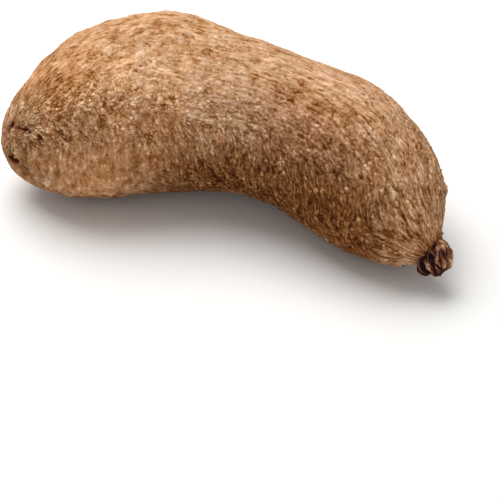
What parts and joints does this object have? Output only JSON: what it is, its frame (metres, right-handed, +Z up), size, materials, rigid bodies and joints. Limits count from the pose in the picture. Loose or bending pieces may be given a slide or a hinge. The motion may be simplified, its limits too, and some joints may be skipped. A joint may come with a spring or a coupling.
{
  "type": "yam tuber",
  "caption": "Whole yam: a long tuber bent like a kidney, with a woody crown knob at one end and a dished scar on the other, lying on its side.",
  "frame": {"origin": "middle of the bounding box, on the plane that the two resting flats share", "axes": "+Z up; +X from the blunt growing tip to the woody crown; the bend opens towards -Y"},
  "size_m": [0.2639, 0.1165, 0.1015],
  "materials": {
    "yam_skin": "dry scurfy bark-like skin, matt"
  },
  "bodies": {
    "root": {"yam_tuber": "yam_skin"}
  },
  "joints": []
}
